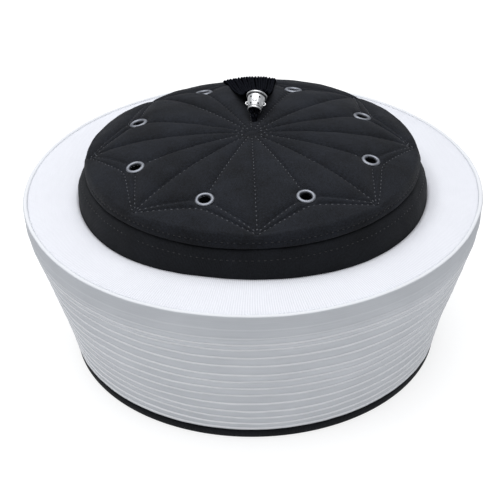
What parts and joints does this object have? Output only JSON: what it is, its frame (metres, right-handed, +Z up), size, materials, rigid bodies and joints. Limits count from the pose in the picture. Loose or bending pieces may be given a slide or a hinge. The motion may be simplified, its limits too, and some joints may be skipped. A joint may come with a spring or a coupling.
{
  "type": "turban cap",
  "caption": "Black quilted round cap in a high flaring pleated white wrap, with metal eyelets and a beaded tassel on its domed top.",
  "frame": {"origin": "middle of the ring on which the hem rests, under the middle of the cap", "axes": "+Z up through the middle of the crown, -Y towards the front, where the wearer looks; the tassel hangs towards +Y"},
  "size_m": [0.2364, 0.2364, 0.1338],
  "materials": {
    "black_cloth": "matte black cotton, plain weave",
    "quilted_cloth": "matte black cotton, padded and quilted",
    "white_pleats": "white cotton, fine weave, laid in pleats",
    "white_rib": "white ribbed cotton",
    "eyelet_metal": "satin gunmetal plating",
    "tassel_cord": "black rayon cord, slight sheen",
    "bead_silver": "antiqued silver with darkened recesses"
  },
  "bodies": {
    "root": {"cap_band": "black_cloth", "wrap_side": "white_pleats", "wrap_top": "white_rib", "crown_top": "quilted_cloth", "eyelet_1": "eyelet_metal", "eyelet_2": "eyelet_metal", "eyelet_3": "eyelet_metal", "eyelet_4": "eyelet_metal", "eyelet_5": "eyelet_metal", "eyelet_6": "eyelet_metal", "eyelet_7": "eyelet_metal", "eyelet_8": "eyelet_metal", "tassel": "tassel_cord", "tassel_bead": "bead_silver"}
  },
  "joints": []
}
